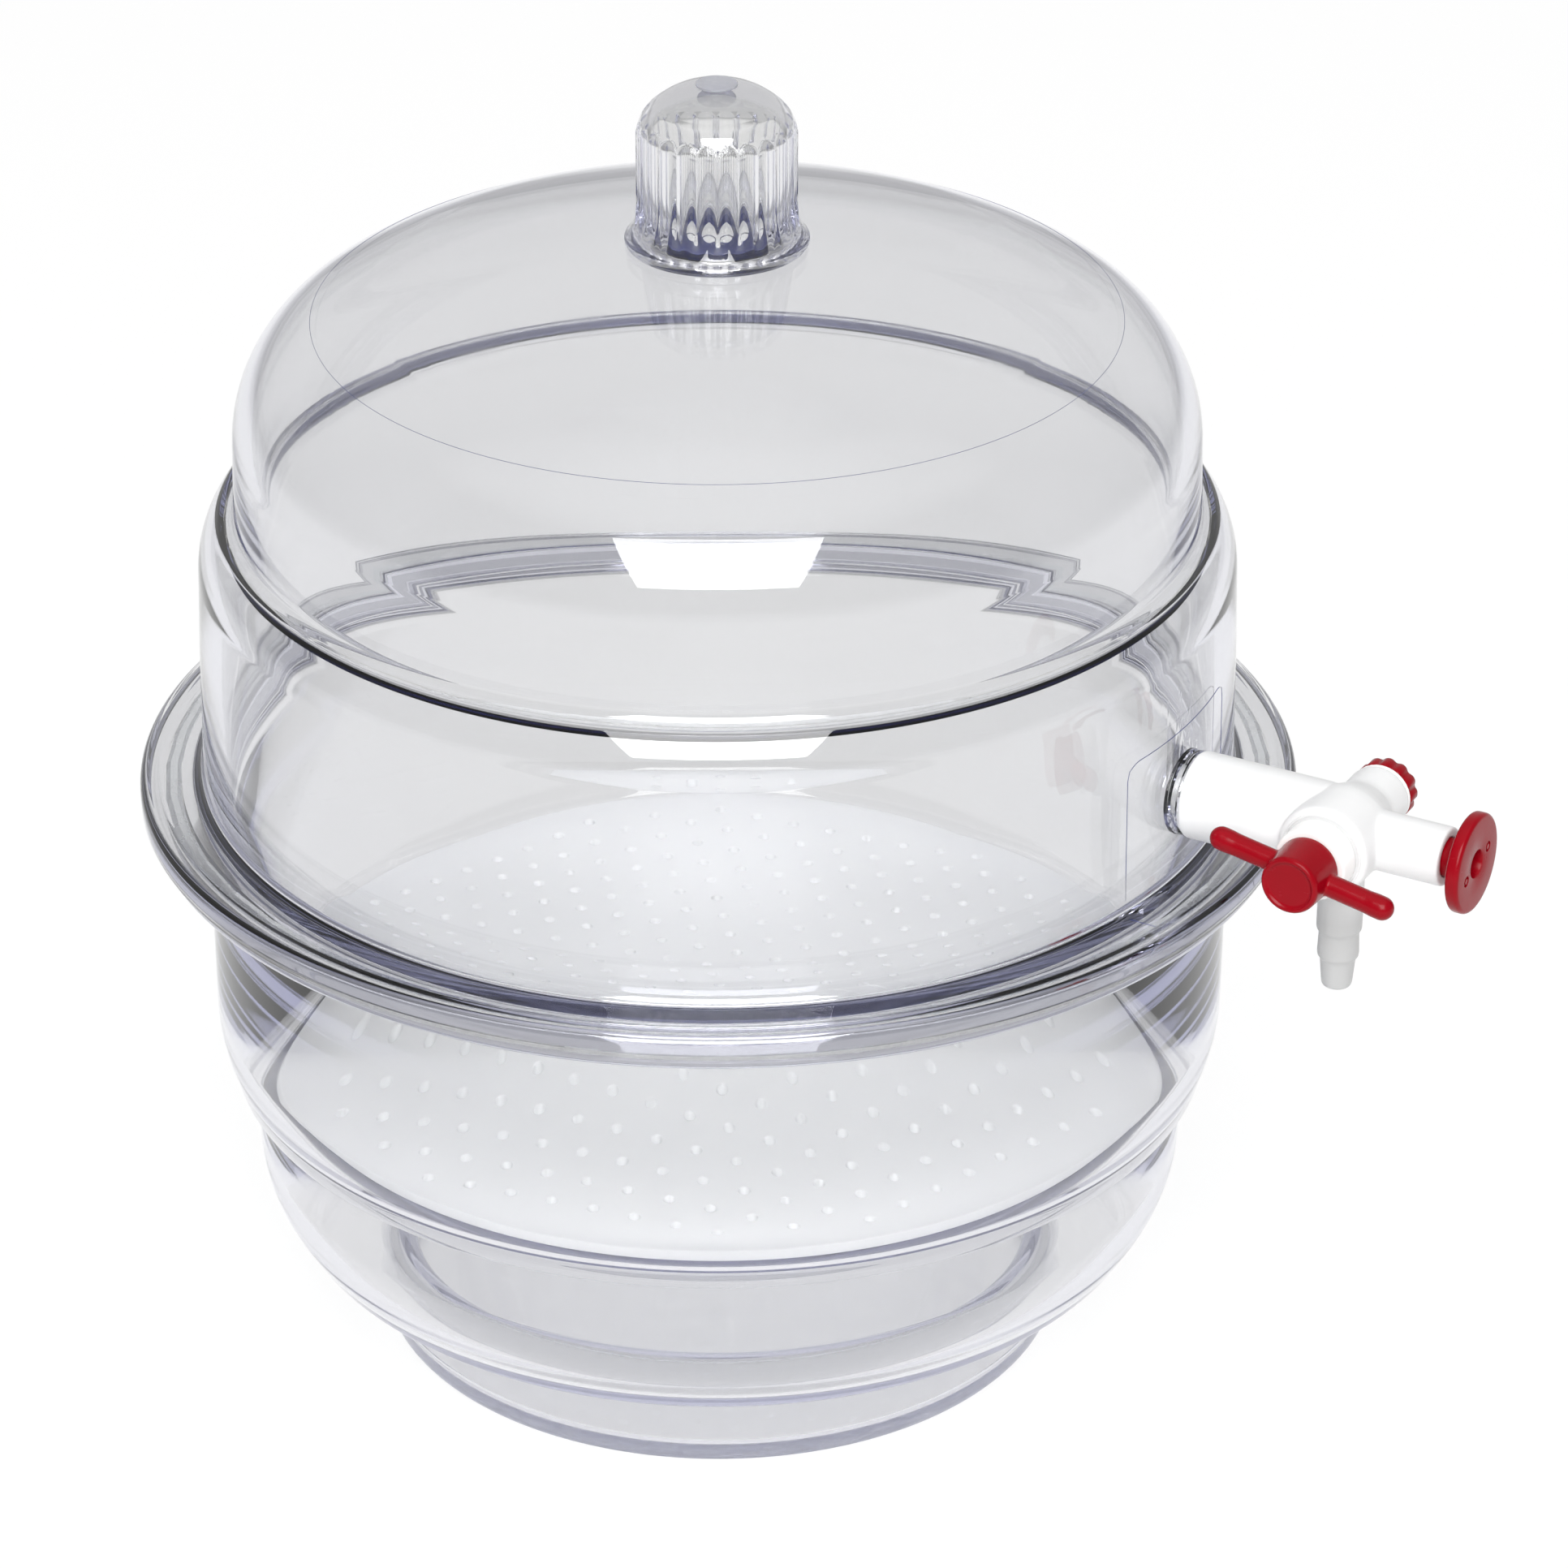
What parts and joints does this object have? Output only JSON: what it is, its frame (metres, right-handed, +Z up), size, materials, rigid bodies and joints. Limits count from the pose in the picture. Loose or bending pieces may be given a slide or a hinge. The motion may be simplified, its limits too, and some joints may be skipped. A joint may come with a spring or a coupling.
{
  "type": "vacuum desiccator",
  "caption": "Clear plastic vacuum desiccator: stepped bowl, domed lid with a fluted knob, perforated plate and a side stopcock with hose barb.",
  "frame": {"origin": "centre of the flat foot, on the surface the desiccator stands on", "axes": "+Z up along the bowl's axis, +X through the lid's port and stopcock, valve handle on the -Y side"},
  "size_m": [0.362, 0.2996, 0.343],
  "materials": {
    "clear_polycarbonate": "clear, polished",
    "white_polypropylene": "moulded, satin",
    "natural_polypropylene": "translucent, satin",
    "white_ptfe": "turned, waxy",
    "red_polypropylene": "moulded, semi-gloss",
    "clear_silicone": "translucent",
    "black_rubber": "matt"
  },
  "bodies": {
    "base": {"base_bowl": "clear_polycarbonate", "flange_o_ring": "clear_silicone"},
    "plate": {"perforated_plate": "natural_polypropylene"},
    "lid": {"lid_dome": "clear_polycarbonate", "lid_knob": "clear_polycarbonate"},
    "stopcock": {"stopcock_body": "white_polypropylene", "port_o_ring": "black_rubber"},
    "valve": {"valve_plug": "white_ptfe", "plug_handle": "red_polypropylene"},
    "tension_stack": {"tension_washer": "white_ptfe", "tension_o_ring": "black_rubber"},
    "nut": {"retaining_nut": "red_polypropylene"},
    "vent_seal": {"vent_o_ring": "black_rubber"},
    "vent_knob": {"vent_screw": "red_polypropylene"}
  },
  "joints": [
    {"name": "lid_lift", "type": "slide", "parent": "base", "child": "lid", "axis": [0, 0, 1], "range_m": [0, 0.2]},
    {"name": "plate_lift", "type": "slide", "parent": "base", "child": "plate", "axis": [0, 0, 1], "range_m": [0, 0.08]},
    {"name": "stopcock_swivel", "type": "hinge", "parent": "lid", "child": "stopcock", "pos_m": [0.1363, 0, 0.183], "axis": [1, 0, 0], "continuous": true},
    {"name": "valve_turn", "type": "hinge", "parent": "stopcock", "child": "valve", "pos_m": [0.1766, 0, 0.183], "axis": [0, 1, 0], "continuous": true},
    {"name": "nut_advance", "type": "slide", "parent": "valve", "child": "tension_stack", "axis": [0, 1, 0], "range_m": [0, 0.003]},
    {"name": "nut_turn", "type": "hinge", "parent": "tension_stack", "child": "nut", "pos_m": [0.1766, 0.025, 0.183], "axis": [0, 1, 0], "range_deg": [0, 720]},
    {"name": "vent_advance", "type": "slide", "parent": "stopcock", "child": "vent_seal", "axis": [1, 0, 0], "range_m": [-0.0036, 0.003]},
    {"name": "vent_turn", "type": "hinge", "parent": "vent_seal", "child": "vent_knob", "pos_m": [0.2087, 0, 0.183], "axis": [1, 0, 0], "range_deg": [-864, 720]}
  ],
  "couplings": [
    {"joint": "nut_turn", "follows": "nut_advance", "rad_per_m": 4188.7},
    {"joint": "vent_turn", "follows": "vent_advance", "rad_per_m": 4188.7}
  ]
}
